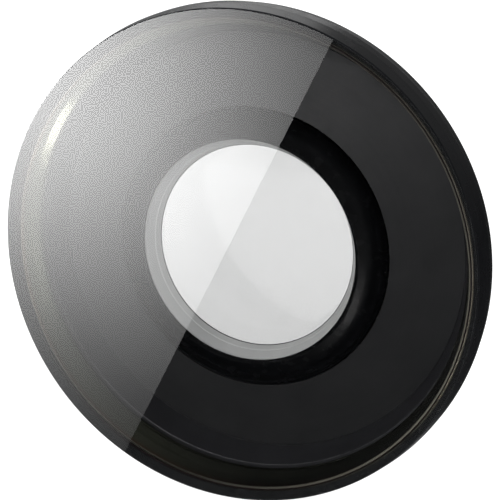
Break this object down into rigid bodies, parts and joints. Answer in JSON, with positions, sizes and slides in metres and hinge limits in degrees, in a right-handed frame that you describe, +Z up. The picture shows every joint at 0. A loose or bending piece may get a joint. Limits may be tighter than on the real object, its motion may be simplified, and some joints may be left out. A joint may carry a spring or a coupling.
{
  "type": "barlow lens",
  "caption": "Low-profile screw-in Barlow lens head: flat glass front in a smooth black rim, deep dark interior, central lens cell, and a rear filter thread with a fluted lock ring.",
  "frame": {"origin": "on the optical axis, midway between the window's front face and the rear end of the thread", "axes": "+Y along the optical axis, from the glass front to the threaded rear; +Z up; the glass faces -Y"},
  "size_m": [0.038, 0.0116, 0.038],
  "materials": {
    "window_glass": "polished flat, lightly coated",
    "crown_glass": "polished, coated",
    "flint_glass": "polished, coated",
    "gloss_black": "glossy black anodised",
    "satin_black": "satin black anodised",
    "baffle_black": "fine matt black",
    "knurled_black": "satin black anodised, fluted",
    "coated_metal": "polished with a greenish interference coating",
    "bush_grey": "satin grey anodised",
    "nickel": "bright nickel plate on brass, blackened in the bore",
    "brass": "turned",
    "rubber": "matt",
    "nylon": "natural nylon"
  },
  "bodies": {
    "lens_head": {"front_window": "window_glass", "window_gasket": "rubber", "trim_ring": "coated_metal", "bezel_ring": "gloss_black", "trough_seal": "rubber", "main_housing": "satin_black", "baffle_plate": "baffle_black", "lens_cell": "gloss_black", "aperture_bush": "bush_grey", "front_stop": "baffle_black", "crown_element": "crown_glass", "element_spacer": "brass", "flint_element": "flint_glass", "cushion_ring": "rubber", "cell_retainer": "satin_black", "cell_clamp_ring": "brass", "threaded_nose": "nickel", "nose_seal": "rubber", "glare_stop": "baffle_black", "rear_retainer": "satin_black"},
    "washer_body": {"slip_washer": "nylon"},
    "lock_ring_body": {"lock_ring": "knurled_black"}
  },
  "joints": [
    {"name": "lock_ring_travel", "type": "slide", "parent": "lens_head", "child": "washer_body", "axis": [0, 1, 0], "range_m": [0, 0.0012]},
    {"name": "lock_ring_turn", "type": "hinge", "parent": "washer_body", "child": "lock_ring_body", "pos_m": [0, 0, 0], "axis": [0, 1, 0], "range_deg": [0, 720]}
  ],
  "couplings": [
    {"joint": "lock_ring_travel", "follows": "lock_ring_turn", "m_per_rad": 0.0000954}
  ]
}
